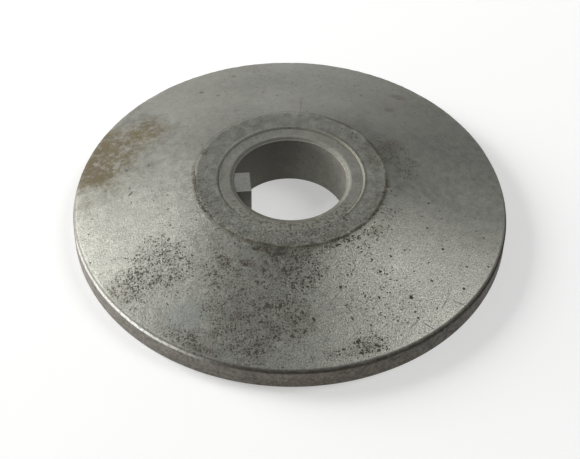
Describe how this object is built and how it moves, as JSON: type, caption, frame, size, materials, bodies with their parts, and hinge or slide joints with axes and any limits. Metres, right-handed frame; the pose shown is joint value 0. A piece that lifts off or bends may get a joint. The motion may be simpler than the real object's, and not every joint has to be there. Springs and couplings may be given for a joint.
{
  "type": "flywheel",
  "caption": "Solid cone-faced steel flywheel disc with a flat hub boss, an upright rim and a keyed straight bore.",
  "frame": {"origin": "on the shaft axis, in the plane of the flat underside", "axes": "+Z along the shaft axis, from the flat underside to the hub boss; the drive key is on the -X side of the bore and points to the axis"},
  "size_m": [0.0984, 0.0984, 0.0132],
  "materials": {
    "cast_steel": "bare steel, fine-grained and satin, with dark pits, rust freckles and a brown stain",
    "bush_steel": "bare steel, smoother and cleaner than the disc, dull satin",
    "key_steel": "bare bright steel, matt"
  },
  "bodies": {
    "root": {"flywheel_disc": "cast_steel", "hub_bush": "bush_steel", "drive_key": "key_steel"}
  },
  "joints": []
}
